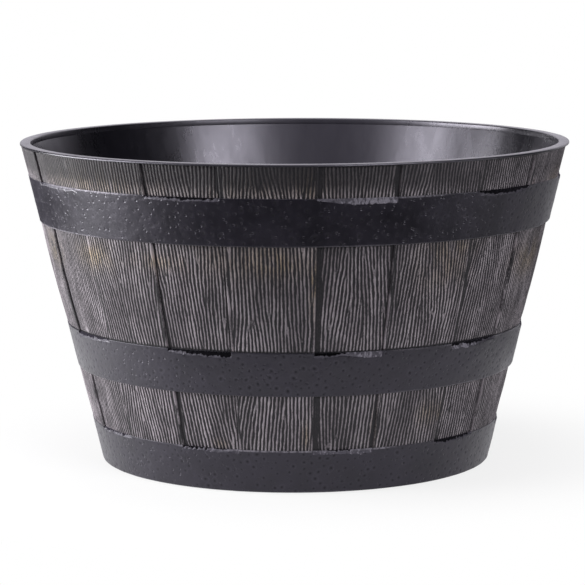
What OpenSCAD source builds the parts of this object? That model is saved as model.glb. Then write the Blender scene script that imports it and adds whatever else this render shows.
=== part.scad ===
// Half-barrel flower pot with a wood-effect outside.
// A tapered tub with a raised floor is dressed all round with staves, wide proud ones and
// narrow recessed ones in turn. Three hoops run round them: a hoop bears on the recessed
// staves and is let into a notch across each proud one, so its face stands just outside the
// wood. A plug closes the drain hole in the floor and pulls out upwards.
// The foot stands on z = 0 about the origin, and the front of the pot faces -Y.

/* [Overall] */
// Diameter over the rim
rim_d = 565; // [500:5:640]
// Height from the ground to the top of the rim
height = 330; // [290:5:400]
// Diameter over the proud staves at their lower end
base_d = 401.6; // [340:0.2:440]

/* [Rim] */
// Width of the flat land on top of the rim
rim_w = 10.8; // [9:0.1:16]
// Depth of the upright band inside the rim
rim_h = 6; // [3:0.5:14]
// Thickness of the rim's outer edge, over the ends of the staves
rim_edge_h = 2.4; // [1.6:0.1:6]
// How far that edge stands out past the proud staves
rim_overhang = 0.8; // [0.4:0.1:4]
// Rounding of the rim's edges
rim_round = 0.7; // [0.3:0.1:0.8]

/* [Shell] */
// Thickness of the shell's wall behind the staves
shell_t = 3.8; // [2:0.1:6]
// Height of the floor's upper side at the drain
floor_z = 14; // [10:0.5:30]
// Thickness of the floor at the drain
floor_t = 5; // [3:0.5:8]
// How much higher the floor lies at the wall, so that water runs to the drain
floor_fall = 2; // [0:0.5:6]
// How far the floor stays level outside the plug's flange
seat_margin = 3; // [1:0.5:10]
// Radius of the fillet between floor and wall
floor_fillet = 12; // [4:1:25]
// Width of the foot ring that the pot stands on
foot_w = 8; // [5:0.5:20]

/* [Underside] */
// Number of ribs under the floor
rib_count = 8; // [4:1:16]
// Thickness of a rib
rib_t = 3; // [2:0.5:6]
// How far the ribs and the drain's hub stay above the ground
rib_lift = 2.5; // [1:0.5:5]
// Wall of the hub round the drain hole
hub_w = 4; // [2:0.5:10]

/* [Staves] */
// Pairs of one wide and one narrow stave
pairs = 10; // [8:1:12]
// Angle that a wide stave spans
wide_angle = 19.5; // [15:0.1:24]
// Angle from the front to the nearest joint, towards +X
front_joint = 4.5; // [0:0.1:12]
// Thickness of a narrow stave
stave_t = 3; // [1.6:0.1:6]
// How far the wide staves stand out past the narrow ones
recess = 2; // [1:0.1:5]
// Chamfer along the long edges of a wide stave
stave_edge = 1.2; // [0.4:0.1:2]
// How far staves and hoops end above the ground
skirt_lift = 1; // [0.5:0.5:6]

/* [Hoops] */
// Height of the top hoop
top_hoop_h = 47; // [25:1:60]
// From the top of the rim down to the top hoop
top_band = 33; // [15:1:50]
// Height of the middle hoop
middle_hoop_h = 44; // [25:1:60]
// Bare wood between the middle and the bottom hoop
lower_band = 56; // [30:1:75]
// Height of the bottom hoop
bottom_hoop_h = 43.5; // [25:0.5:55]
// How far a hoop's face stands out past the wood at its upper edge
hoop_proud_up = 0.4; // [0.2:0.1:2.5]
// The same at its lower edge
hoop_proud_low = 1; // [0.5:0.1:4]
// Chamfer along a hoop's lower edge
hoop_edge = 0.8; // [0.3:0.1:1.5]
// Height of the sloping ledge that a hoop has over a narrow stave
ledge_h = 6; // [2:0.5:12]
// Thickness that the ledge leaves at the hoop's upper edge
ledge_lip = 0.5; // [0.3:0.1:1.5]

/* [Drain plug] */
// Diameter of the drain hole
drain_d = 25; // [15:0.5:40]
// How far the plug's flange covers the floor round the hole
flange_w = 6.5; // [3:0.5:12]
// Thickness of the flange
flange_t = 3.5; // [2:0.5:6]
// Chamfer round the flange
flange_edge = 1.2; // [0.3:0.1:1.8]
// How far the plug's shank ends above the ground
shank_lift = 3; // [1.5:0.5:6]
// How much slimmer the shank is at its end, which leads it into the hole
shank_lead = 1.5; // [0.5:0.5:3]
// Height over which it tapers
shank_lead_h = 3; // [1:0.5:5]
// Width of the finger tab
tab_w = 20; // [10:1:24]
// Height of the finger tab above the flange
tab_h = 12; // [8:1:25]
// Thickness of the finger tab
tab_t = 4; // [2:0.5:8]
// Rounding of the finger tab's corners
tab_round = 4; // [1:0.5:5]

/* [Fits] */
// Gap between skins that touch: shell, staves and hoops
skin_gap = 0.1; // [0.05:0.05:0.3]
// Gap all round the drain plug
plug_gap = 0.3; // [0.1:0.1:0.6]

/* [Hidden] */
stave_count = 2 * pairs;
function two_digits(n) = str(n < 10 ? "0" : "", n);
function stave_name(i) = str("stave_", two_digits(i + 1));
STAVES = [for (i = [0 : stave_count - 1]) stave_name(i)];
$fn = 180;

shell_colour = [0.15, 0.15, 0.17];
wood_colour = [0.33, 0.31, 0.29];
hoop_colour = [0.19, 0.19, 0.22];
plug_colour = [0.08, 0.08, 0.09];

// Cuts run this far past what they cut, and ribs this far into what they join
past = 1;
// The fillet's arc dips this far into wall and floor, so that it ends where it crosses them
fillet_dip = 0.02;

rim_r = rim_d / 2;
wood_top = height - rim_edge_h;
stave_top = wood_top - skin_gap;
// The wall leans out by this much for each millimetre of height
lean = (rim_r - rim_overhang - base_d / 2) / (wood_top - skirt_lift);

// Radii at height z, from the outside in
function wood_r(z) = base_d / 2 + lean * (z - skirt_lift);
function recess_r(z) = wood_r(z) - recess;
function shell_r(z) = recess_r(z) - stave_t - skin_gap;
function bore_r(z) = shell_r(z) - shell_t;

// Lower edge of each hoop
top_hoop_z = height - top_band - top_hoop_h;
middle_hoop_z = skirt_lift + bottom_hoop_h + lower_band;
bottom_hoop_z = skirt_lift;
HOOPS = [[bottom_hoop_z, bottom_hoop_h], [middle_hoop_z, middle_hoop_h], [top_hoop_z, top_hoop_h]];

pair_angle = 360 / pairs;
narrow_angle = pair_angle - wide_angle;
// The front is at -90 degrees, and this is where the first, wide stave starts
first_angle = -90 + front_joint - wide_angle;
// Half of the gap between two staves, as an angle at their lower end
half_gap_angle = skin_gap / base_d * 180 / PI;

drain_r = drain_d / 2;
flange_r = drain_r + flange_w;
// The floor is level under the flange and rises from there to the wall
seat_r = flange_r + seat_margin;
floor_under = floor_z - floor_t;
hub_r = drain_r + hub_w;
foot_in_r = shell_r(0) - foot_w;

// The point where the rising floor meets the leaning inner wall
floor_lean = floor_fall / (bore_r(floor_z) - seat_r);
corner_z = (floor_z + floor_lean * (bore_r(0) - seat_r)) / (1 - floor_lean * lean);
corner = [bore_r(corner_z), corner_z];

function unit(v) = v / norm(v);

// Directions up the wall and down the floor from there, and where the fillet touches both
up_wall = unit([lean, 1]);
down_floor = unit([-1, -floor_lean]);
half_corner = acos(up_wall * down_floor) / 2;
wall_touch = corner + up_wall * floor_fillet / tan(half_corner);
floor_touch = corner + down_floor * floor_fillet / tan(half_corner);

// Upright section of a plate with rounded corners, from the lower inner to the upper outer one
module rounded_plate(r0, z0, r1, z1, e) {
  translate([r0 + e, z0]) square([r1 - r0 - 2 * e, z1 - z0]);
  translate([r0, z0 + e]) square([r1 - r0, z1 - z0 - 2 * e]);
  for (r = [r0 + e, r1 - e], z = [z0 + e, z1 - e])
    translate([r, z]) circle(e, $fn = 32);
}

// Section of the fillet between floor and wall, which reaches a little into both
module corner_fillet() {
  off_corner = (floor_fillet - fillet_dip) / sin(half_corner);
  centre = corner + unit(up_wall + down_floor) * off_corner;
  difference() {
    polygon([
      corner - (up_wall + down_floor) * past,
      wall_touch - down_floor * past,
      wall_touch,
      centre,
      floor_touch,
      floor_touch - up_wall * past
    ]);
    translate(centre) circle(floor_fillet);
  }
}

module wall_section() {
  polygon([
    [foot_in_r, 0],
    [shell_r(0), 0],
    [shell_r(height - rim_round), height - rim_round],
    [bore_r(height - rim_round), height - rim_round],
    [bore_r(floor_under), floor_under],
    [foot_in_r, floor_under]
  ]);
}

module floor_section() {
  polygon([
    [0, floor_under],
    [bore_r(floor_under) + past, floor_under],
    corner - down_floor * past,
    [seat_r, floor_z],
    [0, floor_z]
  ]);
}

module rim_section() {
  rounded_plate(rim_r - rim_w, height - rim_edge_h, rim_r, height, rim_round);
  translate([rim_r - rim_w, height - rim_h])
    square([bore_r(height - rim_h) + shell_t / 2 - rim_r + rim_w, rim_h - rim_round]);
}

module ribs() {
  for (k = [0 : rib_count - 1])
    rotate(k * 360 / rib_count)
      translate([hub_r - past, -rib_t / 2, rib_lift])
        cube([foot_in_r - hub_r + 2 * past, rib_t, floor_under - rib_lift + past]);
}

module inner_shell() {
  color(shell_colour)
    difference() {
      union() {
        rotate_extrude() {
          wall_section();
          floor_section();
          rim_section();
          corner_fillet();
        }
        translate([0, 0, rib_lift]) cylinder(r = hub_r, h = floor_under - rib_lift + past);
        ribs();
      }
      translate([0, 0, rib_lift - past]) cylinder(r = drain_r, h = floor_z - rib_lift + 2 * past);
    }
}

// Face of a hoop that starts at height z0 and is h high
function hoop_r(z, z0, h) =
  wood_r(z) + hoop_proud_low + (hoop_proud_up - hoop_proud_low) * (z - z0) / h;

module hoop_section(z0, h) {
  z1 = z0 + h;
  polygon([
    [recess_r(z0) + skin_gap, z0],
    [hoop_r(z0, z0, h) - hoop_edge, z0],
    [hoop_r(z0 + hoop_edge, z0, h), z0 + hoop_edge],
    [hoop_r(z1, z0, h), z1],
    [recess_r(z1) + skin_gap, z1]
  ]);
}

// What is taken off a hoop over a narrow stave, to leave a slope from its face to the wood
module ledge_section(z0, h) {
  z1 = z0 + h;
  lip = [recess_r(z1) + skin_gap + ledge_lip, z1];
  foot = [hoop_r(z1 - ledge_h, z0, h), z1 - ledge_h];
  clear = foot + past * unit(foot - lip);
  polygon([
    lip,
    clear,
    [hoop_r(z1, z0, h) + 2 * past, clear[1]],
    [hoop_r(z1, z0, h) + 2 * past, z1 + past],
    [lip[0], z1 + past]
  ]);
}

module hoop(z0, h) {
  color(hoop_colour)
    rotate(first_angle + wide_angle / 2)
      difference() {
        rotate_extrude() hoop_section(z0, h);
        for (k = [0 : pairs - 1])
          rotate(wide_angle / 2 + k * pair_angle)
            rotate_extrude(angle = narrow_angle) ledge_section(z0, h);
      }
}

// The notch across a proud stave that lets a hoop in as deep as the recessed staves lie
module notch_section(z0, h) {
  low = z0 - skin_gap;
  high = z0 + h + skin_gap;
  polygon([
    [recess_r(low), low],
    [wood_r(low) + past, low],
    [wood_r(high) + past, high],
    [recess_r(high), high]
  ]);
}

module narrow_section() {
  polygon([
    [recess_r(skirt_lift) - stave_t, skirt_lift],
    [recess_r(skirt_lift), skirt_lift],
    [recess_r(stave_top), stave_top],
    [recess_r(stave_top) - stave_t, stave_top]
  ]);
}

module wide_section() {
  difference() {
    polygon([
      [recess_r(skirt_lift) - stave_t, skirt_lift],
      [wood_r(skirt_lift), skirt_lift],
      [wood_r(stave_top), stave_top],
      [recess_r(stave_top) - stave_t, stave_top]
    ]);
    for (hoop = HOOPS) notch_section(hoop[0], hoop[1]);
  }
}

// A square bar along the outer corner of a proud stave, at the angle of that corner
module edge_bar(angle) {
  rotate(angle)
    translate([wood_r(0), 0, 0])
      rotate([0, atan(lean), 0])
        rotate(45)
          translate([-stave_edge / sqrt(2), -stave_edge / sqrt(2), -past])
            cube([stave_edge * sqrt(2), stave_edge * sqrt(2), norm([wood_top, lean * wood_top])]);
}

module wide_stave() {
  span = wide_angle - 2 * half_gap_angle;
  difference() {
    rotate(half_gap_angle) rotate_extrude(angle = span) wide_section();
    edge_bar(half_gap_angle);
    edge_bar(half_gap_angle + span);
  }
}

module narrow_stave() {
  rotate(half_gap_angle)
    rotate_extrude(angle = narrow_angle - 2 * half_gap_angle) narrow_section();
}

// Staves count from the wide one at the front towards +X, wide and narrow in turn
module stave(i) {
  wide = i % 2 == 0;
  color(wood_colour)
    rotate(first_angle + floor(i / 2) * pair_angle + (wide ? 0 : wide_angle)) {
      if (wide) wide_stave();
      else narrow_stave();
    }
}

module plug_body_section() {
  seat = floor_z + plug_gap;
  top = seat + flange_t;
  shank_r = drain_r - plug_gap;
  polygon([
    [0, shank_lift],
    [shank_r - shank_lead, shank_lift],
    [shank_r, shank_lift + shank_lead_h],
    [shank_r, seat],
    [flange_r, seat],
    [flange_r, top - flange_edge],
    [flange_r - flange_edge, top],
    [0, top]
  ]);
}

module tab_outline() {
  translate([-tab_w / 2, 0]) square([tab_w, past + tab_h - tab_round]);
  translate([tab_round - tab_w / 2, 0]) square([tab_w - 2 * tab_round, past + tab_h]);
  for (side = [-1, 1])
    translate([side * (tab_w / 2 - tab_round), past + tab_h - tab_round]) circle(tab_round);
}

module drain_plug() {
  color(plug_colour) {
    rotate_extrude() plug_body_section();
    translate([0, tab_t / 2, floor_z + plug_gap + flange_t - past])
      rotate([90, 0, 0])
        linear_extrude(tab_t) tab_outline();
  }
}

inner_shell();
for (i = [0 : stave_count - 1])
  stave(i);
hoop(top_hoop_z, top_hoop_h);  // hoop_top
hoop(middle_hoop_z, middle_hoop_h);  // hoop_middle
hoop(bottom_hoop_z, bottom_hoop_h);  // hoop_bottom
drain_plug();
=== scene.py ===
# %% [markdown]
# # A flower pot that looks like half a barrel
# The real pot is one moulding of tough resin. It imitates wooden staves held by three hammered
# hoops, and a rubber plug closes the drain hole in its raised floor. This lesson dresses the
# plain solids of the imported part: each stave, hoop and wall is modelled again with its fine
# relief, and every finish is mixed from nodes. Nothing is painted from a picture.
#
# The work goes from large to small: view, shell, staves, hoops, plug, finishes, light.

# %% The frame that the solids give
import math

import bmesh
import bpy
import numpy as np
from mathutils import Matrix, Vector


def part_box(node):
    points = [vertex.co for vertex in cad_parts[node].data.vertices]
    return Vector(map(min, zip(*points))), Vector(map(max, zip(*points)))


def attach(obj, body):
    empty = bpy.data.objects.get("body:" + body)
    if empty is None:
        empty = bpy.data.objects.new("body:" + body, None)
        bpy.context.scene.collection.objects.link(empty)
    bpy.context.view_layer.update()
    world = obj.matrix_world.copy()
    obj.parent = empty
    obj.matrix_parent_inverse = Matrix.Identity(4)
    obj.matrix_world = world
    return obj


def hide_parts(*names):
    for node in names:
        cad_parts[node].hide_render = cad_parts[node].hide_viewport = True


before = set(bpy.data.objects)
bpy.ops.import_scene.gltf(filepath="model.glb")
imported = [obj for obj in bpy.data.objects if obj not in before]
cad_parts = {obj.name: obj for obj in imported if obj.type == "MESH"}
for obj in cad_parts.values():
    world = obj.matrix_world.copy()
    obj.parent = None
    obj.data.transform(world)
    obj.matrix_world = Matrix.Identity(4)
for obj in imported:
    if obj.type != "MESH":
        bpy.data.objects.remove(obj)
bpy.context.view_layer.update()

MM = 0.001

# %% [markdown]
# ## The view
# The photograph looks down by about eight degrees from nearly three metres away, through a
# long lens. The camera is turned by a fraction of a degree, and its centre lies a few pixels
# off, as in the photograph. It is made first, so that every later step can be looked at.

# %% The camera
SENSOR = 36.0
LENS = 163.8
AIM_HEIGHT = 0.1647
DISTANCE = 2.7745
LOOKS_DOWN = math.radians(8.28)
TURNED = math.radians(-0.19)
SHIFT_RIGHT = -0.0044
SHIFT_UP = 0.0081

lens = bpy.data.cameras.new("camera")
lens.sensor_width = SENSOR
lens.lens = LENS
lens.shift_x = SHIFT_RIGHT
lens.shift_y = SHIFT_UP
camera = bpy.data.objects.new("camera", lens)
bpy.context.scene.collection.objects.link(camera)
place = Vector((0, -DISTANCE * math.cos(LOOKS_DOWN), AIM_HEIGHT + DISTANCE * math.sin(LOOKS_DOWN)))
turn = Matrix.Rotation(math.radians(90) - LOOKS_DOWN, 4, "X") @ Matrix.Rotation(TURNED, 4, "Z")
camera.matrix_world = Matrix.Translation(place) @ turn
bpy.context.scene.camera = camera
bpy.context.scene.view_settings.view_transform = "Standard"
print("camera at", [round(c, 3) for c in place])

# %% [markdown]
# ## The pot's measures
# All walls lean outwards by the same amount, so a radius is a start value plus lean times
# height. The heights of the hoops come from the solids themselves, which keeps the looks and
# the solids together when the part changes.

# %% Radii and heights in millimetres
SKIRT = 1.0
HEIGHT = 330.0
RIM_R = 282.5
RIM_W = 10.8
RIM_EDGE = 2.4
RIM_BAND = 6.0
OVERHANG = 0.8
BASE_R = 200.8
RECESS = 2.0
STAVE_T = 3.0
SHELL_T = 3.8
GAP = 0.1
WOOD_TOP = HEIGHT - RIM_EDGE
LEAN = (RIM_R - OVERHANG - BASE_R) / (WOOD_TOP - SKIRT)
PROUD_UP = 0.4
PROUD_LOW = 1.0
LEDGE_H = 6.0
LEDGE_LIP = 0.5

PAIRS = 10
WIDE = math.radians(19.5)
PAIR = 2 * math.pi / PAIRS
NARROW = PAIR - WIDE
FIRST = math.radians(-90 + 4.5) - WIDE
HALF_GAP = GAP / (2 * BASE_R)


def wood_r(z):
    return BASE_R + LEAN * (z - SKIRT)


def recess_r(z):
    return wood_r(z) - RECESS


def shell_r(z):
    return recess_r(z) - STAVE_T - GAP


def bore_r(z):
    return shell_r(z) - SHELL_T


def hoop_r(z, low, high):
    return wood_r(z) + PROUD_LOW + (PROUD_UP - PROUD_LOW) * (z - low) / (high - low)


HOOPS = {}
for hoop_name in ("hoop_bottom", "hoop_middle", "hoop_top"):
    low_corner, high_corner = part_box(hoop_name)
    HOOPS[hoop_name] = (round(low_corner[2] / MM, 2), round(high_corner[2] / MM, 2))
print("hoops from and to:", HOOPS)

# %% [markdown]
# ## Sections that are spun
# Almost everything on a pot is turned about one axis. So a piece starts as a flat face in the
# shape of its section. Its corners are rounded by a bevel of the vertices, its long edges are
# divided where fine relief will come, and the outline is spun about the axis. That gives even
# rows and columns, which a sculpted relief needs.

# %% Outline, spin and finish
MERGE = 2e-5


def outline(corners, step_at=lambda r, z: 1e9):
    """A bmesh with one closed outline. Corners are (radius, height, rounding) in millimetres."""
    bm = bmesh.new()
    ring = [bm.verts.new((r * MM, 0, z * MM)) for r, z, _ in corners]
    bm.faces.new(ring)
    for rounding in sorted({corner[2] for corner in corners} - {0}):
        picked = [v for v, corner in zip(ring, corners) if corner[2] == rounding]
        bmesh.ops.bevel(
            bm, geom=picked, offset=rounding * MM, offset_type="OFFSET", segments=3,
            profile=0.5, affect="VERTICES", material=-1,
        )
    bmesh.ops.delete(bm, geom=bm.faces[:], context="FACES_ONLY")
    for edge in list(bm.edges):
        middle = (edge.verts[0].co + edge.verts[1].co) / (2 * MM)
        cuts = math.ceil(edge.calc_length() / MM / step_at(middle.x, middle.z)) - 1
        if cuts > 0:
            bmesh.ops.subdivide_edges(bm, edges=[edge], cuts=cuts)
    return bm


def spin(bm, steps, start=0.0, angle=2 * math.pi, repeats=1):
    """Spins the outline about the pot's axis, and closes both ends of a part turn.
    A long turn is spun for one share of it, which is then repeated and merged: that is quicker."""
    bmesh.ops.rotate(bm, verts=bm.verts[:], cent=(0, 0, 0), matrix=Matrix.Rotation(start, 3, "Z"))
    share = angle / repeats
    bmesh.ops.spin(
        bm, geom=bm.verts[:] + bm.edges[:], cent=(0, 0, 0), axis=(0, 0, 1), angle=share,
        steps=steps // repeats,
    )
    if repeats > 1:
        bmesh.ops.spin(
            bm, geom=bm.verts[:] + bm.edges[:] + bm.faces[:], cent=(0, 0, 0), axis=(0, 0, 1),
            angle=angle - share, steps=repeats - 1, use_duplicate=True,
        )
    bmesh.ops.remove_doubles(bm, verts=bm.verts[:], dist=MERGE)
    ends = [edge for edge in bm.edges if edge.is_boundary]
    if ends:
        bmesh.ops.edgeloop_fill(bm, edges=ends)
    bmesh.ops.recalc_face_normals(bm, faces=bm.faces[:])
    return bm


def as_mesh(bm, name):
    mesh = bpy.data.meshes.new(name)
    bm.to_mesh(mesh)
    bm.free()
    return mesh


def add_piece(mesh, name, body, sharp=40, stands_for=()):
    """Puts a finished mesh into the scene, smooth apart from edges sharper than so many degrees."""
    mesh.shade_smooth()
    mesh.set_sharp_from_angle(angle=math.radians(sharp))
    piece = bpy.data.objects.new(name, mesh)
    bpy.context.scene.collection.objects.link(piece)
    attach(piece, body)
    if stands_for:
        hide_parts(*stands_for)
    return piece


# %% [markdown]
# ## Relief by moving vertices
# On a round pot, relief is a change of radius. So the vertices of a mesh are read as distance
# from the axis, angle about it and height, the distances are changed, and the vertices are
# written back. What a finish has to know about the relief is stored on them as an attribute.

# %% Vertices as radius, angle and height
def get_polar(mesh):
    """Each vertex's distance from the axis, angle about it and height, in millimetres."""
    flat = np.zeros(len(mesh.vertices) * 3, np.float32)
    mesh.vertices.foreach_get("co", flat)
    x, y, z = (flat.reshape(-1, 3).astype(float) / MM).T
    return np.hypot(x, y), np.arctan2(y, x), z


def set_polar(mesh, radius, angle, height):
    points = np.column_stack((radius * np.cos(angle), radius * np.sin(angle), height))
    mesh.vertices.foreach_set("co", (points * MM).astype(np.float32).ravel())
    mesh.update()


def azimuth(angle):
    """An angle about the axis as degrees from the front, from -180 to 180, right being positive."""
    return (np.degrees(angle) + 270) % 360 - 180


def set_values(mesh, name, values):
    """Stores one number for each vertex, for the finishes to read."""
    store = mesh.attributes.new(name, "FLOAT", "POINT")
    store.data.foreach_set("value", values.astype(np.float32))


def smoothstep(low, high, x):
    t = np.clip((x - low) / (high - low), 0, 1)
    return t * t * (3 - 2 * t)


# %% [markdown]
# ## The shell
# Inside, the pot is a smooth tub: a leaning wall, a floor that falls gently to the drain, and
# a rim with a flat land that turns down into a short upright band. One section holds all of
# it, with the foot ring and the hub round the drain. The wall gets a very slight waviness,
# because a large moulding is never quite true, and that is what its soft reflections show.

# %% The shell's section, spun
FLOOR_Z = 14.0
FLOOR_UNDER = 9.0
FLOOR_FALL = 2.0
FLOOR_FILLET = 12.0
SEAT_R = 22.0
DRAIN_R = 12.5
HUB_R = 16.5
HUB_Z = 2.5
FOOT_W = 8.0
SHELL_STEPS = 480
SHELL_ROW = 12.0

foot_in = shell_r(0) - FOOT_W
floor_edge = FLOOR_Z + FLOOR_FALL
rim_in = RIM_R - RIM_W
band_low = HEIGHT - RIM_BAND
shell_corners = [
    (DRAIN_R, HUB_Z, 0.3), (HUB_R, HUB_Z, 0.6), (HUB_R, FLOOR_UNDER, 0.5),
    (foot_in, FLOOR_UNDER, 2.0), (foot_in, 0, 0.8), (shell_r(0), 0, 0.6),
    (shell_r(WOOD_TOP), WOOD_TOP, 0), (RIM_R, WOOD_TOP, 0.7), (RIM_R, HEIGHT, 1.3),
    (rim_in, HEIGHT, 1.3), (rim_in, band_low, 0), (bore_r(band_low), band_low, 0),
    (bore_r(floor_edge), floor_edge, FLOOR_FILLET), (SEAT_R, FLOOR_Z, 0), (DRAIN_R, FLOOR_Z, 0.4),
]
shell_turn = spin(outline(shell_corners, lambda r, z: SHELL_ROW), SHELL_STEPS, repeats=PAIRS)
shell_mesh = as_mesh(shell_turn, "smooth_shell")
print("shell:", len(shell_mesh.polygons), "faces")

# %% A slight waviness inside
BROAD_WAVE = 0.08
SMALL_WAVE = 0.03
# The heights between which the waviness comes in, and between which it fades out
WAVE_IN = (40, 120)
WAVE_OUT = (280, 322)

radius, angle, height = get_polar(shell_mesh)
inside = (np.abs(radius - bore_r(height)) < 0.3) & (height > WAVE_IN[0])
wave = BROAD_WAVE * np.sin(5 * angle + 1.0) + SMALL_WAVE * np.sin(11 * angle + height / 60)
share = smoothstep(*WAVE_IN, height) * smoothstep(*reversed(WAVE_OUT), height)
set_polar(shell_mesh, radius + np.where(inside, wave * share, 0), angle, height)
shell = add_piece(shell_mesh, "smooth_shell", "pot", 40, ["inner_shell"])
print("wavy vertices:", int(inside.sum()), "by up to", round(float(np.abs(wave).max()), 2), "mm")

# %% [markdown]
# ## Ribs under the floor
# Eight ribs run from the hub to the foot ring and carry the floor. They are plain bars with
# softened edges, each one a cube that is stretched, bevelled and turned to its place. Their
# ends reach a millimetre into the hub and the ring, and their tops into the floor.

# %% The ribs
RIBS = 8
RIB_T = 3.0
BITE = 1

rib_set = bmesh.new()
reach_in, reach_out = HUB_R - BITE, foot_in + BITE
for k in range(RIBS):
    verts = bmesh.ops.create_cube(rib_set, size=MM)["verts"]
    stretch = (reach_out - reach_in, RIB_T, FLOOR_UNDER - HUB_Z + BITE)
    bmesh.ops.scale(rib_set, verts=verts, vec=stretch)
    middle = Vector((reach_in + reach_out, 0, FLOOR_UNDER + HUB_Z + BITE)) * MM / 2
    bmesh.ops.translate(rib_set, verts=verts, vec=middle)
    turn = Matrix.Rotation(k * 2 * math.pi / RIBS, 3, "Z")
    bmesh.ops.rotate(rib_set, verts=verts, cent=(0, 0, 0), matrix=turn)
bmesh.ops.bevel(
    rib_set, geom=rib_set.edges[:], offset=0.5 * MM, offset_type="OFFSET", segments=2,
    profile=0.5, affect="EDGES", material=-1,
)
rib_mesh = as_mesh(rib_set, "floor_ribs")
ribs = add_piece(rib_mesh, "floor_ribs", "pot", 40, [])
print("ribs:", len(rib_mesh.polygons), "faces")

# %% [markdown]
# ## Wood grain as waves that lie side by side
# The mould for such staves is cut with a corduroy of near-upright ridges, a little under four
# millimetres apart. Where a stave narrows, or where the grain fans out round a heart, two
# ridges join in a fork, and the spacing stays the same.
#
# That is how waves behave. So each stave is covered with several hundred small patches of a
# wave, each turned the way the grain runs there. The patches then settle: every one shifts
# its crest until it lines up with its neighbours. Where that can't be done, a fork stays.
# The sum of all patches has a phase, and its cosine is the ridge.

# %% Patches that settle
PITCH = 3.6
ACROSS = 4.6
ALONG = 15.0
PATCH_RISE = 12.0
MARGIN = 6.0
SETTLE_ROUNDS = 14


def bell(sideways, lengthways):
    """How strong a patch is at a distance across and along its grain, 1 at its middle."""
    return np.exp(-(sideways**2) / (2 * ACROSS**2) - lengthways**2 / (2 * ALONG**2))


def settled_patches(x, z, width_at, lean_at, rng):
    """Places, leans and phases of the patches, once each lines up with its neighbours."""
    widest = float(np.abs(x).max())
    across = np.arange(-widest - MARGIN, widest + MARGIN, ACROSS)
    along = np.arange(z.min() - PATCH_RISE, z.max() + PATCH_RISE, PATCH_RISE)
    px, pz = np.meshgrid(across, along)
    px = (px + rng.uniform(-2, 2, px.shape)).ravel()
    pz = (pz + rng.uniform(-5, 5, pz.shape)).ravel()
    keep = np.abs(px) < width_at(pz) / 2 + MARGIN
    px, pz = px[keep], pz[keep]
    lean = lean_at(px, pz)
    phase = rng.uniform(0, 2 * math.pi, len(px))
    dx = px[None, :] - px[:, None]
    dz = pz[None, :] - pz[:, None]
    tilt = (lean[None, :] + lean[:, None]) / 2
    sideways = np.cos(tilt) * dx - np.sin(tilt) * dz
    lengthways = np.sin(tilt) * dx + np.cos(tilt) * dz
    link = bell(sideways, lengthways) * np.exp(2j * math.pi * sideways / PITCH)
    for _ in range(SETTLE_ROUNDS):
        phase = np.angle(link.T @ np.exp(1j * phase) + 0.5 * np.exp(1j * phase))
    return px, pz, lean, phase


# %% The wave that they add up to, and smooth noise
REACH_ACROSS = 4.5 * ACROSS
REACH_ALONG = 2.6 * ALONG


def grain_wave(x, z, width_at, lean_at, rng):
    """Phase and strength of the grain on a grid of points: x by row and column, z by row."""
    total = np.zeros(x.shape, complex)
    weight = np.zeros(x.shape)
    for px, pz, lean, phase in zip(*settled_patches(x, z, width_at, lean_at, rng)):
        r0, r1 = np.searchsorted(z, (pz - REACH_ALONG, pz + REACH_ALONG))
        if r1 <= r0:
            continue
        c0, c1 = np.searchsorted(x[(r0 + r1) // 2], (px - REACH_ACROSS, px + REACH_ACROSS))
        if c1 <= c0:
            continue
        ax = x[r0:r1, c0:c1] - px
        az = (z[r0:r1] - pz)[:, None]
        c, s = math.cos(lean), math.sin(lean)
        side, length = c * ax - s * az, s * ax + c * az
        amount = bell(side, length)
        total[r0:r1, c0:c1] += amount * np.exp(1j * (phase + 2 * math.pi * side / PITCH))
        weight[r0:r1, c0:c1] += amount
    return np.angle(total), np.abs(total) / np.maximum(weight, 1e-6)


def soft_noise(x, z, size_x, size_z, rng, waves=14):
    """A smooth random field between about -1 and 1, of that size across and along."""
    out = np.zeros(np.broadcast(x, z).shape)
    for _ in range(waves):
        a, b = rng.normal(0, 1 / size_x), rng.normal(0, 1 / size_z)
        out += np.cos(2 * (a * x + b * z) + rng.uniform(0, 2 * math.pi))
    return out / math.sqrt(waves / 2) * 0.6


# %% [markdown]
# ## How the grain runs on each stave
# Between the joints the grain follows the taper of its stave, with slow bends of its own.
# On some staves it slants to one side, and on others it fans out below a point, as where a
# board was cut through the side of a trunk. Each stave has a short list of such features,
# with the front ones set from the photograph and the rest drawn at random.

# %% Grain features
# Each heart is (across, height, width, reach, degrees) in millimetres from the stave's middle.
# Above it the grain stays upright, and on its two sides it leans apart by so many degrees.
HEARTS = {
    1: [(-24, 168, 5, 14, 9), (-12, 312, 7, 13, 10), (24, 310, 12, 16, -7), (-30, 215, 22, 40, 3)],
    2: [(0, 225, 15, 42, 10), (2, 312, 12, 14, -9), (-8, 70, 9, 20, -6)],
    3: [(6, 190, 26, 60, -7), (20, 80, 10, 22, 7), (-14, 312, 9, 14, 8)],
    4: [(-14, 230, 8, 40, 8), (10, 75, 8, 20, -7)],
    19: [(10, 215, 18, 40, -6), (-16, 75, 9, 20, 8)],
    20: [(-24, 200, 22, 70, -5), (12, 312, 9, 14, -8)],
}
# Each slant is (across, height, half width, half height, degrees), and more than 0 degrees
# lean to the right on the way up.
SLANTS = {
    1: [(-22, 170, 14, 70, 3.0), (-30, 78, 12, 34, 11.0)],
    3: [(-28, 200, 13, 90, 9.0), (16, 222, 22, 46, -9.0), (20, 75, 18, 30, -4.0)],
    20: [(-14, 200, 20, 90, -4.0), (8, 70, 16, 34, -11.0)],
}
BEND = math.radians(2.0)


def drawn_hearts(rng):
    return [
        (
            rng.uniform(-30, 30), rng.uniform(60, 320), rng.uniform(5, 18), rng.uniform(14, 50),
            rng.choice((-1, 1)) * rng.uniform(5, 11),
        )
        for _ in range(rng.integers(2, 5))
    ]


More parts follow.
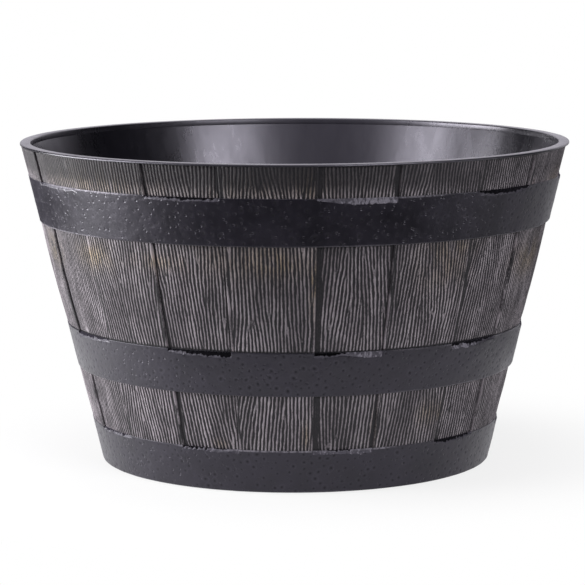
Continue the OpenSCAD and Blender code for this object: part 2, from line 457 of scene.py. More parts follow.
def lean_field(number, rng):
    """A function that gives the grain's lean at a point of that stave, in radians."""
    own = rng.spawn(1)[0]
    hearts = HEARTS[number] if number in HEARTS else drawn_hearts(own)
    bends = [(own.normal(0, 1 / 20), own.normal(0, 1 / 40), own.uniform(0, 6.28)) for _ in range(12)]

    def lean(x, z):
        out = 0.9 * x * LEAN / wood_r(z)
        out = out + BEND * sum(np.cos(2 * (a * x + b * z) + c) for a, b, c in bends) / math.sqrt(6)
        for x0, z0, width, reach, degrees in hearts:
            share = np.exp(-((z - z0) ** 2) / (2 * reach**2) - (x - x0) ** 2 / (2 * (2.5 * width) ** 2))
            out = out - math.radians(degrees) * np.tanh((x - x0) / width) * share
        for x0, z0, wide, tall, degrees in SLANTS.get(number, []):
            share = np.exp(-((x - x0) ** 2) / (2 * wide**2) - (z - z0) ** 2 / (2 * tall**2))
            out = out + math.radians(degrees) * share
        return out

    return lean


print("staves with set features:", sorted(HEARTS))

# %% [markdown]
# ## The staves
# Wide staves stand proud and have a bold rounded ridge along each edge. Narrow ones lie two
# millimetres lower, and leave a dark plain strip beside their neighbours. Both are spun once
# as a blank, with fine rows only where the wood shows between the hoops. Each stave is then a
# copy of its blank, turned to its place, with the grain pressed in by moving vertices inwards.
# The height of the ridge is kept on the vertices as `ridge`, for the finish to read.

# %% Blanks for the wide and the narrow stave
ROW = 1.5
HIDDEN_ROW = 14.0
COLUMN = 0.5


def bare(z):
    """Whether the wood shows at this height."""
    return all(not low - 0.2 < z < high + 0.2 for low, high in HOOPS.values())


def stave_step(outer):
    def step(r, z):
        if r < outer(z) - 1.0 or not bare(z):
            return HIDDEN_ROW
        return ROW
    return step


stave_top = WOOD_TOP - GAP
wide_corners = [(recess_r(SKIRT) - STAVE_T, SKIRT, 0)]
for low, high in sorted(HOOPS.values()):
    low, high = low - GAP, high + GAP
    if low > SKIRT:
        wide_corners += [(wood_r(low), low, 0)]
    notch = max(low, SKIRT)
    wide_corners += [(recess_r(notch), notch, 0), (recess_r(high), high, 0), (wood_r(high), high, 0)]
wide_corners += [(wood_r(stave_top), stave_top, 0), (recess_r(stave_top) - STAVE_T, stave_top, 0)]

hoop_edges = [HOOPS["hoop_bottom"][1] + GAP]
for low, high in sorted(HOOPS.values())[1:]:
    hoop_edges += [low - GAP, high + GAP]
narrow_corners = [(recess_r(SKIRT) - STAVE_T, SKIRT, 0)]
narrow_corners += [(recess_r(z), z, 0) for z in (SKIRT, *hoop_edges, stave_top)]
narrow_corners += [(recess_r(stave_top) - STAVE_T, stave_top, 0)]

blanks = {}
for kind, corners, span, face in (
    ("wide", wide_corners, WIDE, wood_r), ("narrow", narrow_corners, NARROW, recess_r),
):
    turned = span - 2 * HALF_GAP
    columns = round(turned * wood_r(HEIGHT * 0.6) / COLUMN)
    blank = spin(outline(corners, stave_step(face)), columns, -turned / 2, turned)
    blanks[kind] = as_mesh(blank, f"{kind}_blank")
    print(kind, "blank:", len(blanks[kind].polygons), "faces,", columns, "columns")

# %% The edges of a stave
EDGE_ROUND = 1.2
# The bold ridges of a wide stave: breadth at the left and at the right, and how heavily each
# of the two is brushed. Stave 3 is slimmer at its left and brighter at its right.
BOLD = {3: (1.5, 1.8, 0.70, 0.95)}
BOLD_ELSEWHERE = (2.4, 1.8, 0.70, 0.70)
# The plain strip at the two edges of a narrow stave: height, width at the left, at the right
PLAIN = {
    2: ((45, 6.0, 3.5), (150, 6.0, 0.8), (250, 4.5, 0.8), (300, 4.2, 4.4)),
    4: ((45, 4.2, 1.0), (160, 4.4, 0.9), (330, 4.0, 1.0)),
    18: ((45, 1.2, 1.0), (330, 1.2, 1.0)),
    20: ((45, 3.6, 0.4), (150, 3.0, 0.4), (170, 1.2, 1.4), (330, 1.2, 1.6)),
}


def bold_edges(number, ridge, right, edge, wander):
    """A rounded ridge along both edges of a wide stave, with a groove on its inner side."""
    left_bold, right_bold, left_brushed, right_brushed = BOLD.get(number, BOLD_ELSEWHERE)
    bold = np.where(right, right_bold, left_bold) + 0.5 * wander
    brushed = np.where(right, right_brushed, left_brushed) + 0.35 * wander
    ridge = ridge * smoothstep(bold + 0.2, bold + 1.4, edge)
    return np.maximum(ridge, smoothstep(bold + 0.5, bold - 0.5, edge) * brushed)


def plain_edges(number, ridge, right, edge, z, wander, rng):
    """A plain strip along both edges of a narrow stave, with a faint line in it."""
    drawn = [(at, *rng.uniform(1.0, 4.0, 2)) for at in (45, 160, 330)]
    at, left_plain, right_plain = np.array(PLAIN.get(number, drawn)).T
    plain = np.where(right, np.interp(z, at, right_plain), np.interp(z, at, left_plain))
    plain = plain * (1 + 0.2 * wander)
    faint = 0.3 * smoothstep(0.2, 0.9, np.cos(2 * math.pi * edge / 2.1))
    ridge = ridge * smoothstep(plain - 0.6, plain + 1.0, edge)
    return np.maximum(ridge, faint * smoothstep(plain + 1, plain - 1, edge))


def rounded_edge(distance, radius):
    inset = np.clip(radius - distance, 0, radius)
    return radius - np.sqrt(np.maximum(radius**2 - inset**2, 0))


# %% The ridges of one stave
def ridges(number, x, z, edge, rng):
    """The relief on a grid, from 0 in a groove to 1 on a ridge. Noise makes the ridges wobble
    and change in breadth, and above the middle hoop a dark line is left."""
    span, face = (WIDE, wood_r) if number % 2 else (NARROW, recess_r)
    zz = z[:, None]
    phase, strength = grain_wave(x, z, lambda h: span * face(h), lean_field(number, rng), rng)
    wobble = 0.50 * soft_noise(x, zz, 3.4, 9, rng, 40) + 0.28 * soft_noise(x, zz, 1.6, 3.2, rng, 40)
    breadth = 0.14 * soft_noise(x, zz, 9, 40, rng) + 0.15 * soft_noise(x, zz, 2.5, 12, rng, 40)
    steady = smoothstep(0.1, 0.4, strength)
    crest = np.cos(phase + wobble) * steady + breadth + 0.28 * (1 - steady)
    ridge = smoothstep(-0.60, 0.85, crest)
    wander = soft_noise(x * 0, zz, 9, 16, rng)
    if number % 2:
        ridge = bold_edges(number, ridge, x > 0, edge, wander)
    else:
        ridge = plain_edges(number, ridge, x > 0, edge, zz, wander, rng)
    foot = HOOPS["hoop_middle"][1] + 0.4 * wander
    return ridge * np.where(zz > foot - 2, smoothstep(foot + 0.3, foot + 1.8, zz), 1)


# %% [markdown]
# ## Where the brush was warm, and where shade is painted in
# Most of the brushed colour is a greyish tan, but a few patches are warmer. High up under the rim
# and just under the top hoop, shade is painted in: the brushed colour is taken away there, most on
# the front staves. Both are worked out at each vertex from tables that name a place on the pot.

# %% Warm patches and painted shade
# Each patch: degrees from the front to the right, height, half width in degrees, half height
# and strength. The ones out of sight are drawn at random.
WARM = [
    (-50, 230, 6, 14, 1.0), (-31, 231, 6, 8, 0.6), (-47, 308, 16, 14, 0.7), (-4, 234, 5, 12, 0.7),
    (4.0, 215, 0.9, 30, 0.9), (2.8, 314, 2.2, 12, 0.8), (34, 226, 7, 24, 0.4), (36, 243, 6, 6, 0.5),
    (20.8, 68, 0.8, 18, 0.9), (36, 75, 3, 12, 0.6), (40.5, 72, 1.2, 12, 0.8), (-20, 50, 2, 5, 0.6),
    (2.6, 60, 1, 12, 0.7), (-8, 308, 20, 16, 0.35), (-12, 238, 12, 22, 0.35),
]
HIDDEN_WARM = 26
rng = np.random.default_rng(7)
WARM += [
    (
        rng.uniform(62, 298), rng.uniform(45, 325), rng.uniform(1, 8), rng.uniform(6, 26),
        rng.uniform(0.4, 0.9),
    )
    for _ in range(HIDDEN_WARM)
]
# Painted shade: shares of the brush's colour taken away at some degrees from the front, and the
# heights between which this shade comes in, under the rim and under the top hoop
SHADE_UNDER_RIM = ((-180, -60, 0, 20, 60, 180), (0.4, 0.8, 0.9, 0.7, 0.2, 0.4))
SHADE_UNDER_HOOP = ((-180, -50, -25, 15, 40, 180), (0.1, 0.1, 0.7, 0.6, 0.3, 0.1))
RIM_SHADE_HEIGHTS = (298, 312)
HOOP_SHADE_HEIGHTS = (238, 262)
BEHIND_HOOP = 275


def warmth(degrees, z):
    """How warm the brushed colour is at these places."""
    total = 0
    for middle, height, wide, tall, strength in WARM:
        off = (degrees - middle + 180) % 360 - 180
        total = total + strength * np.exp(-((off / wide) ** 2) - ((z - height) / tall) ** 2)
    return np.minimum(total, 1.0)


def painted_shade(degrees, z):
    """How much of the brush's colour is taken away at these places, as painted shade."""
    rim = smoothstep(*RIM_SHADE_HEIGHTS, z) * np.interp(degrees, *SHADE_UNDER_RIM)
    hoop = smoothstep(*HOOP_SHADE_HEIGHTS, z) * (z < BEHIND_HOOP) * np.interp(degrees, *SHADE_UNDER_HOOP)
    return np.maximum(rim, hoop)


print("warm patches:", len(WARM))

# %% Press the grain into each stave
RELIEF = 0.6
UNEVEN = 0.18
ON_FACE = 0.02
BELLIES = (("hoop_middle", "hoop_top", 1.2), ("hoop_bottom", "hoop_middle", 0.3))


def belly(z):
    """The bare wood swells a little between two hoops, and not at all beside them."""
    out = np.zeros_like(z)
    for under, over, swell in BELLIES:
        low, high = HOOPS[under][1], HOOPS[over][0]
        out = out + swell * np.sin(math.pi * np.clip((z - low) / (high - low), 0, 1))
    return out


def dress_stave(number):
    wide = number % 2 == 1
    span, face = (WIDE, wood_r) if wide else (NARROW, recess_r)
    mesh = blanks["wide" if wide else "narrow"].copy()
    radius, angle, height = get_polar(mesh)
    rng = np.random.default_rng(100 + number)
    on_face = np.where(np.abs(radius - face(height)) < ON_FACE)[0]
    order = np.lexsort((angle[on_face], np.round(height[on_face], 2)))
    z = np.unique(np.round(height[on_face], 2))
    grid = on_face[order].reshape(len(z), -1)
    theta, zz = angle[grid[0]], z[:, None]
    x = face(zz) * theta
    edge = face(zz) * (span / 2 - HALF_GAP) - np.abs(x)
    ridge = ridges(number, x, z, edge, rng)
    swell = UNEVEN * soft_noise(x, zz, 30, 70, rng)
    sunk = RELIEF * (1 - ridge) + UNEVEN - swell.clip(-UNEVEN, UNEVEN)
    if wide:
        sunk = sunk + rounded_edge(edge, EDGE_ROUND)
    radius[grid] = face(zz) + belly(zz) - sunk * math.sqrt(1 / (1 + LEAN**2))
    turned = FIRST + (number // 2) * PAIR + (WIDE / 2 if wide else -NARROW / 2)
    set_polar(mesh, radius, angle + turned, height)
    kept = np.full(len(radius), 0.75 if wide else 0.0)
    kept[grid] = ridge
    set_values(mesh, "ridge", kept)
    warm = np.zeros(len(radius))
    warm[grid] = warmth(np.degrees(theta + turned) + 90, zz)
    set_values(mesh, "warm", warm)
    # The painted shade under the rim and the top hoop, kept for the finish
    set_values(mesh, "painted_shade_share", painted_shade(azimuth(angle + turned), height))
    node = f"stave_{number:02d}"
    return add_piece(mesh, f"wood_{node}", "pot", 62, [node])


staves = [dress_stave(number) for number in range(1, 2 * PAIRS + 1)]
print("staves:", len(staves), "with", sum(len(s.data.polygons) for s in staves), "faces")

# %% [markdown]
# ## The hoops
# The hoops imitate hammered iron straps. Each one is a ring whose face stands just outside
# the wood and is a little prouder at its lower edge. Small round hammer marks are scattered
# over it, never closer than a few millimetres, and each is pressed in as a soft dish in a
# wider shallow bowl. Over a narrow stave, the top edge slopes down to the lower wood in a
# rough ledge, from which pieces are broken away.
#
# The dishes, their lips, the ledges, their pale paint and holes, the height on the hoop and
# the painted highlights along the edges are kept on the vertices for the finish.

# %% Scatter and press hammer marks
MARK_SPACING = 6.3
MARK_REACH = 7
MARK_TRIES = 9000
MARK_MARGIN = 2.0
MARK_SIZES = (1.0, 1.6)
MARK_STRETCHES = (1.0, 1.25)
MARK_DEPTHS = (0.35, 1.0)


def scatter(length, height, rng):
    """Places on a band that closes on itself, none nearer to another than the spacing."""
    placed = np.empty((0, 2))
    along = rng.uniform(0, length, MARK_TRIES)
    upwards = rng.uniform(MARK_MARGIN, height - MARK_MARGIN, MARK_TRIES)
    for u, v in zip(along, upwards):
        du = np.abs(placed[:, 0] - u)
        du = np.minimum(du, length - du)
        if not len(placed) or (du**2 + (placed[:, 1] - v) ** 2).min() > MARK_SPACING**2:
            placed = np.vstack([placed, (u, v)])
    return placed


def hammer(u, v, length, height, rng):
    """How deep each vertex lies in a mark's dish and in its bowl, and how near to its lip."""
    dish, bowl, lip = (np.zeros(len(u)) for _ in range(3))
    order = np.argsort(u)
    sorted_u = u[order]
    for mu, mv in scatter(length, height, rng):
        size, stretch = rng.uniform(*MARK_SIZES), rng.uniform(*MARK_STRETCHES)
        way, deep = rng.uniform(0, math.pi), rng.uniform(*MARK_DEPTHS)
        a, b = np.searchsorted(sorted_u, (mu - MARK_REACH, mu + MARK_REACH))
        some = order[a:b]
        du, dv = u[some] - mu, v[some] - mv
        p = (du * math.cos(way) + dv * math.sin(way)) / stretch
        q = (-du * math.sin(way) + dv * math.cos(way)) * math.sqrt(stretch)
        d = np.hypot(p, q) / size
        dish[some] = np.maximum(dish[some], deep * np.exp(-(d**2) * 1.3))
        bowl[some] = np.maximum(bowl[some], deep * np.exp(-((d / 1.7) ** 4)))
        lip[some] = np.maximum(lip[some], deep * np.exp(-((d - 2.1) ** 2) * 5))
    return dish, bowl, lip


# %% Wear of the ledges
# For the front's narrow staves, at five places from left to right: how much of the pale dry
# paint the ledge keeps, and what share of its height is broken away from the top.
LEDGES = {
    "hoop_top": {
        18: ((0, 0.1, 0.3, 0.3, 0.1), (0.3, 0, 0, 0, 0)),
        20: ((0, 0, 0, 0.3, 0.4), (0.2, 0.3, 0.4, 0.3, 0.2)),
        2: ((0.0, 0.5, 0.9, 1.0, 0.8), (0, 0, 0, 0, 0)),
        4: ((0, 0, 0, 0, 0), (0.4, 0.7, 0.9, 0.7, 0.3)),
    },
    "hoop_middle": {
        18: ((0, 0, 0, 0, 0), (0.6, 0.5, 0.4, 0.3, 0.2)),
        20: ((0, 0.1, 0.1, 0, 0), (0.3, 0.5, 0.7, 0.9, 0.8)),
        2: ((0, 0, 0.4, 0.8, 0.6), (0.7, 0.5, 0, 0, 0)),
        4: ((0.8, 0.9, 0.7, 0.3, 0), (0.5, 0.3, 0.5, 0.4, 0.1)),
    },
    "hoop_bottom": {
        18: ((0, 0, 0, 0, 0), (0.1, 0.2, 0.2, 0.2, 0)),
        20: ((0, 0.1, 0.4, 0.3, 0.5), (0.2, 0.3, 0.2, 0.2, 0)),
        2: ((0.5, 0.5, 0.4, 0.6, 0.5), (0, 0.1, 0.2, 0, 0)),
        4: ((0, 0, 0, 0, 0), (0.3, 0.6, 0.5, 0.4, 0)),
    },
}


def ledge_wear(name, pair, across, rng):
    """Pale paint and breaks, from 0 to 1, at a share across the narrow stave of each pair."""
    pale, broken = np.zeros(len(across)), np.zeros(len(across))
    places = np.linspace(0, 1, 5)
    for k in range(PAIRS):
        here = pair == k
        drawn = (rng.uniform(0, 0.8, 5), rng.uniform(-0.4, 0.8, 5).clip(0, 1))
        paint, breaks = LEDGES[name].get(2 * k + 2, drawn)
        pale[here] = np.interp(across[here], places, paint)
        broken[here] = np.interp(across[here], places, breaks)
    return pale, broken


# %% Cut the ledges
SEAM = 1e-4
DEEPEST_BREAK = 0.85
LOWEST_LEDGE = 0.4
RAGGED_FOOT = 0.7
CHIPS = 0.35


def cut_ledges(name, radius, angle, z, u, v, outer, rng):
    """Slopes the upper edge down over each narrow stave. Gives the new radii, and for the
    finish three values: the way up a ledge from 0.2 to 1, its pale paint and its holes."""
    low, high = HOOPS[name]
    turn = (angle - FIRST) % PAIR
    narrow = (turn > WIDE + SEAM) & (turn < PAIR - SEAM)
    chip = soft_noise(u, v, 1.6, 2.2, rng, 40)
    pair = ((angle - FIRST) % (2 * math.pi) / PAIR).astype(int)
    pale, broken = ledge_wear(name, pair, (turn - WIDE) / NARROW, rng)
    ragged = soft_noise(u, v * 0, 2.2, 5, rng, 30)
    break_low = high - DEEPEST_BREAK * LEDGE_H * broken + ragged
    hole = smoothstep(-0.4, 0.5, z - break_low) * smoothstep(0.02, 0.2, broken)
    grown = smoothstep(0.1, 0.8, np.maximum(pale, broken))
    tall = LEDGE_H * (LOWEST_LEDGE + (1 - LOWEST_LEDGE) * grown)
    slope_low = high - tall - RAGGED_FOOT * soft_noise(u, v * 0, 3, 5, rng, 30)
    foot_r = hoop_r(high - tall, low, high)
    top_r = recess_r(high) + GAP + LEDGE_LIP
    share = np.clip((z - slope_low) / (high - slope_low), 0, 1)
    line = foot_r + (top_r - foot_r) * share
    chipped = line + CHIPS * (chip - 0.6) * np.sin(math.pi * share)
    line = np.minimum(chipped, line + (top_r - line) * hole)
    on_ledge = narrow & (z > slope_low) & outer
    radius = np.where(on_ledge, np.minimum(radius, line), radius)
    return radius, *(np.where(on_ledge, values, 0) for values in (0.2 + 0.8 * share, pale, hole))


# %% Painted highlights along the edges
# Where the edges of a hoop are painted pale as a highlight: upper or lower edge, from and to in
# degrees from the front to the right, and how pale.
PAINTED_EDGE_LIGHT = {
    "hoop_top": [("upper", -62, -36, 1.0), ("upper", 20, 30, 0.5), ("lower", -78, -46, 0.8)],
    "hoop_middle": [("upper", 38, 60, 0.3)],
    "hoop_bottom": [("upper", -32, 26, 0.7)],
}


def painted_edge_light(name, degrees, upper, rng):
    # Painted highlight: a faint pale line along both edges all round, and stronger ones at the listed
    # places
    lightened = 0.35 * (soft_noise(degrees, degrees * 0, 14, 5, rng, 20) - 0.2).clip(0, 1)
    for edge, start, end, strength in PAINTED_EDGE_LIGHT[name]:
        here = smoothstep(start - 3, start + 2, degrees) * smoothstep(end + 3, end - 2, degrees)
        lightened = np.maximum(lightened, strength * here * (upper == (edge == "upper")))
    return lightened


# %% A hoop's blank
STEPS_PER_TURN = 1600
MARK_CELL = 0.95
PLAIN_CELL = 50.0
HOOP_EDGE = 0.8


def hoop_blank(name):
    low, high = HOOPS[name]
    corners = [
        (recess_r(low) + GAP, low, 0), (hoop_r(low, low, high), low, HOOP_EDGE),
        (hoop_r(high, low, high), high, 0.3), (recess_r(high) + GAP, high, 0),
    ]

    def step(r, z):
        on_face = r > hoop_r(z, low, high) - 1 and low + 0.9 < z < high - 0.4
        return MARK_CELL if on_face else PLAIN_CELL

    return as_mesh(spin(outline(corners, step), STEPS_PER_TURN, FIRST, repeats=PAIRS), name)


# %% Dress the hoops
DISH_DEPTH = 0.16
BOWL_DEPTH = 0.08
LIP_RISE = 0.01
ROUGH = 0.05
RIPPLED = 0.10
FIRST_SEED = 31


def dress_hoop(name, seed):
    low, high = HOOPS[name]
    mesh = hoop_blank(name)
    radius, angle, z = get_polar(mesh)
    rng = np.random.default_rng(seed)
    middle_r = hoop_r((low + high) / 2, low, high)
    u, v = (angle % (2 * math.pi)) * middle_r, z - low
    outer = radius > hoop_r(z, low, high) - 0.9
    dish, bowl, lip = hammer(u, v, 2 * math.pi * middle_r, high - low, rng)
    rough = soft_noise(u, v, 5, 5, rng, 30)
    ripple = soft_noise(u, v, 16, 12, rng, 24)
    sink = DISH_DEPTH * dish + BOWL_DEPTH * bowl - LIP_RISE * lip
    sink = sink + ROUGH * (1 - rough) + RIPPLED * (1 - ripple)
    radius = np.where(outer, radius - sink, radius)
    radius, ledge, pale, hole = cut_ledges(name, radius, angle, z, u, v, outer, rng)
    set_polar(mesh, radius, angle, z)
    edge_light = painted_edge_light(name, azimuth(angle), v > (high - low) / 2, rng)
    kept = {
        "dish": np.where(outer, dish, 0), "lip": np.where(outer, lip, 0), "ledge": ledge,
        "pale": pale, "hole": hole, "edge_light": edge_light, "up": np.clip(v / (high - low), 0, 1),
    }
    for attribute, values in kept.items():
        set_values(mesh, attribute, values)
    print(name, len(mesh.polygons), "faces")
    return add_piece(mesh, f"hammered_{name}", "pot", 50, [name])


hoops = [dress_hoop(name, FIRST_SEED + k) for k, name in enumerate(HOOPS)]

# %% [markdown]
# ## The drain plug
# A soft rubber plug sits in the drain hole: a slim shank, a flange that lies on the floor and
# an upright tab to pull it out by. The body is spun like the pot, and the tab is a cube that
# is stretched and bevelled round.

# %% The plug
PLUG_GAP = 0.3
FLANGE_R = 19.0
FLANGE_T = 3.5
GROOVE = 0.5
SHANK_Z = 3.0

seat = FLOOR_Z + PLUG_GAP
flange_top = seat + FLANGE_T
shank_r = DRAIN_R - PLUG_GAP
plug_corners = [
    (0, SHANK_Z, 0), (shank_r - 1.5, SHANK_Z, 0.6), (shank_r, SHANK_Z + 3, 1.0), (shank_r, seat, 0),
    (FLANGE_R, seat, 0.3), (FLANGE_R, flange_top, 1.2), (FLANGE_R - 3.4, flange_top, 0.3),
    (FLANGE_R - 4.0, flange_top - GROOVE, 0.2), (FLANGE_R - 4.8, flange_top - GROOVE, 0.2),
    (FLANGE_R - 5.4, flange_top, 0.3), (0, flange_top, 0),
]
plug_mesh = as_mesh(spin(outline(plug_corners, lambda r, z: 3.0), 96), "plug_body")
plug = add_piece(plug_mesh, "rubber_plug", "plug", 35, ["drain_plug"])
print("plug:", len(plug_mesh.polygons), "faces")

# %% Its tab
TAB_W = 20.0
TAB_H = 12.0
TAB_T = 4.0
TAB_CORNER = 4
TAB_EDGE = 0.8

tab = bmesh.new()
verts = bmesh.ops.create_cube(tab, size=MM)["verts"]
bmesh.ops.scale(tab, verts=verts, vec=(TAB_W, TAB_T, TAB_H + 1))
bmesh.ops.translate(tab, verts=verts, vec=(0, 0, (flange_top + (TAB_H - 1) / 2) * MM))
top_corners = [
    e for e in tab.edges
    if abs(e.verts[0].co.y - e.verts[1].co.y) > MM and e.verts[0].co.z > flange_top * MM
]
bmesh.ops.bevel(
    tab, geom=top_corners, offset=TAB_CORNER * MM, offset_type="OFFSET", segments=8,
    profile=0.5, affect="EDGES", material=-1,
)
bmesh.ops.bevel(
    tab, geom=[e for e in tab.edges if e.calc_face_angle(0) > 1.2], offset=TAB_EDGE * MM,
    offset_type="OFFSET", segments=3, profile=0.5, affect="EDGES", material=-1,
)
plug_tab = add_piece(as_mesh(tab, "plug_tab"), "plug_tab", "plug", 35, [])
print("tab:", len(plug_tab.data.polygons), "faces")

# %% [markdown]
# ## Shader maths as plain expressions
# A finish is a sum of masks, and a mask is easier to read as a line of maths than as a web of
# wires. The small class below wraps a socket of a node, so that `ridge * 2 + noise` adds the
# Math nodes by itself. Every other node comes from one method, `node`.

# %% Sockets that can be added and multiplied
class Sock:
    def __init__(self, maker, socket):
        self.maker, self.socket = maker, socket

    def maths(self, operation, *others):
        made = self.maker.tree.nodes.new("ShaderNodeMath")
        made.operation = operation
        for slot_in, value in zip(made.inputs, (self, *others)):
            self.maker.feed(slot_in, value)
        return Sock(self.maker, made.outputs[0])

    def __add__(self, other):
        return self.maths("ADD", other)

    def __mul__(self, other):
        return self.maths("MULTIPLY", other)

    def __sub__(self, other):
        return self.maths("SUBTRACT", other)

    def __rsub__(self, other):
        return (self * -1) + other

    __radd__ = __add__
    __rmul__ = __mul__

    def step(self, low, high):
        """Rises smoothly from 0 to 1 while this goes from low to high."""
        return self.maker.node(
            "ShaderNodeMapRange", {"interpolation_type": "SMOOTHSTEP"},
            {"Value": self, "From Min": low, "From Max": high},
        )


# %% A material with short ways to add nodes
class Finish:
    """A material with one Principled shader, whose constants are given by name."""

    def __init__(self, name, **constants):
        self.material = bpy.data.materials.new(name)
        self.material.use_nodes = True
        self.tree = self.material.node_tree
        self.shader = self.tree.nodes["Principled BSDF"]
        for socket, value in constants.items():
            self.shader.inputs[socket.replace("_", " ")].default_value = value

    def feed(self, socket, value):
        if isinstance(value, Sock):
            self.tree.links.new(value.socket, socket)
        elif isinstance(value, (tuple, list)) and len(value) == 3 and socket.type == "RGBA":
            socket.default_value = (*value, 1)
        else:
            socket.default_value = value

    def node(self, kind, settings=None, inputs=None, output=0):
        made = self.tree.nodes.new(kind)
        for key, value in (settings or {}).items():
            setattr(made, key, value)
        for key, value in (inputs or {}).items():
            self.feed(made.inputs[key], value)
        return Sock(self, made.outputs[output])

    def value(self, name):
        return self.node("ShaderNodeAttribute", {"attribute_name": name}, output="Fac")

    def place(self, stretch=(1, 1, 1)):
        """The point on the object, with its axes stretched, in metres."""
        where = self.node("ShaderNodeTexCoord", output="Object")
        return self.node("ShaderNodeVectorMath", {"operation": "MULTIPLY"}, {0: where, 1: stretch})

    def noise(self, scale, stretch=(1, 1, 1), detail=3.0, rough=0.55, twist=0.0):
        inputs = {
            "Vector": self.place(stretch), "Scale": scale, "Detail": detail, "Roughness": rough,
            "Distortion": twist,
        }
        return self.node("ShaderNodeTexNoise", {}, inputs)

    def mix(self, share, one, other):
        inputs = {"Factor": share, 6: one, 7: other}
        return self.node("ShaderNodeMix", {"data_type": "RGBA"}, inputs, output=2)

    def bump(self, height, distance, strength=1.0):
        inputs = {"Strength": strength, "Distance": distance, "Height": height}
        return self.node("ShaderNodeBump", {}, inputs)

    def ray(self, kind):
        return self.node("ShaderNodeLightPath", output=f"Is {kind} Ray")

    def finish(self, **links):
        for socket, value in links.items():
            self.feed(self.shader.inputs[socket.replace("_", " ")], value)
        return self.material


def grey(red, green, blue):
    """A colour read off a screen, 0 to 255, as the linear light that the shader wants."""
    return tuple(
        ((c / 255 + 0.055) / 1.055) ** 2.4 if c > 10 else c / 255 / 12.92
        for c in (red, green, blue)
    )


# %% [markdown]
# ## The wood finish
# The moulding is dark charcoal brown all through. A nearly dry brush of greyish tan has been
# dragged over it, so only the ridges take colour, and they take it unevenly: some stretches
# are bare, some are heavy, and a few patches lean to ochre or rust.

# %% Wood
wood = Finish("brushed_wood_grain", Specular_IOR_Level=0.28)
ridge = wood.value("ridge")
streaks = wood.noise(520, (1, 1, 0.12), 4, 0.6)
specks = wood.noise(700, (1, 1, 0.55), 3, 0.6)
patches = wood.noise(22, (1, 1, 0.45), 3, 0.55)
drag = wood.noise(60, (1, 1, 0.30), 3, 0.6)
warm = wood.value("warm") * wood.noise(90, (1, 1, 0.4), 3, 0.6).step(0.25, 0.6)
rust = wood.noise(46, (1, 1, 0.22), 2, 0.5, 0.4).step(0.68, 0.80)
brushed = (ridge + (streaks - 0.5) * 0.7 + (specks - 0.5) * 1.1 + (drag - 0.5) * 0.4).step(0.32, 1.10)
# Painted shade: the stored share takes brushed colour away under the rim and the top hoop
amount = brushed * (patches.step(0.25, 0.75) * 0.40 + 0.60) * (1 - wood.value("painted_shade_share"))
base = wood.mix(specks.step(0.3, 0.7), grey(16, 15, 19), grey(29, 27, 31))
tan = wood.mix(drag.step(0.35, 0.65), grey(109, 102, 108), grey(137, 130, 136))
tan = wood.mix(warm * 0.75, tan, grey(150, 132, 102))
tan = wood.mix(rust * 0.6, tan, grey(112, 70, 56))
wood_material = wood.finish(
    Base_Color=wood.mix(amount, base, tan),
    Roughness=0.50 + (1 - brushed) * 0.06 + (streaks - 0.5) * 0.2,
    Normal=wood.bump(streaks * 0.7 + specks * 0.3, 0.0003, 0.8),
)
print("wood:", len(wood.tree.nodes), "nodes")

# %% [markdown]
# ## The hoop finish
# Bluish charcoal with a satin skin. Each hammer mark is duller in its dish and has painted shade
# there, darker and partly metallic so that it reflects less, and a painted highlight on its lip. The
# ledges keep flecks of pale dry paint, their holes are painted black as shade, and painted
# highlights run along the hoops' edges in places.

# %% Hoops
COOL = (0.90, 0.86, 1.0, 1.0)
COOL_SHEEN = (0.85, 0.8, 1.0, 1.0)

iron = Finish(
    "hammered_charcoal", Specular_IOR_Level=0.5, Specular_Tint=COOL,
    Sheen_Weight=0.06, Sheen_Roughness=0.5, Sheen_Tint=COOL_SHEEN,
)
dish, lip, ledge, pale_paint, hole, up, edge_light = (
    iron.value(name) for name in ("dish", "lip", "ledge", "pale", "hole", "up", "edge_light")
)
cloud = iron.noise(35, (1, 1, 1), 3, 0.55)
grit = iron.noise(700, (1, 1, 1), 3, 0.6)
speck = iron.noise(420, (1, 1, 0.4), 2, 0.6)
near = iron.node("ShaderNodeTexVoronoi", {}, {"Vector": iron.place(), "Scale": 170.0})
prick = 1 - near.step(0.10, 0.26)
flecks = (speck + pale_paint * 0.50 - ledge * 0.06).step(0.76, 0.92)
edges = up.step(0.045, 0.01) + up.step(0.955, 0.975)
# Painted highlight along the hoop's upper and lower edges
edge_light_line = edges * (speck.step(0.38, 0.58) * 0.8 + 0.2) * edge_light
on_ledge = ledge.step(0.1, 0.3)
skin = iron.mix(cloud.step(0.3, 0.7), grey(12, 11, 16), grey(19, 17, 24))
# Painted shade: the small pricks and the dishes of the hammer marks are darkened
skin = iron.mix(prick * 0.5, skin, grey(12, 11, 14))
skin = iron.mix(dish.step(0.12, 0.55) * 0.8, skin, grey(7, 7, 9))
# Painted highlight: the lips of the hammer marks are paler
skin = iron.mix(lip.step(0.3, 0.9) * 0.3, skin, grey(50, 47, 56))
skin = iron.mix(edge_light_line * 0.85, skin, grey(118, 114, 122))
skin = iron.mix(on_ledge * 0.4, skin, grey(38, 36, 42))
skin = iron.mix(on_ledge * flecks * 0.85, skin, grey(92, 89, 97))
# Painted shade: the holes where the ledge is broken away are painted nearly black
skin = iron.mix(hole.step(0.1, 0.6), skin, grey(5, 5, 6))
iron_material = iron.finish(
    Base_Color=skin,
    # A black base made metallic reflects nothing: painted shade in the dishes and the holes
    Metallic=(dish.step(0.12, 0.6) * 0.42).maths("MAXIMUM", hole.step(0.1, 0.6)),
    Roughness=0.33 + (cloud - 0.5) * 0.2 + dish * 0.3 + on_ledge * 0.3,
    Normal=iron.bump(grit * 0.35 + cloud - prick * 0.9, 0.0004, 0.7),
)
print("hoops:", len(iron.tree.nodes), "nodes")

# %% [markdown]
# ## The shell's and the plug's finish
# The inside is bare resin as it leaves the mould: satin, nearly black with a touch of blue,
# and polished unevenly, with a few faint scuffs that run slantwise. The plug is dull rubber
# with dust on it.

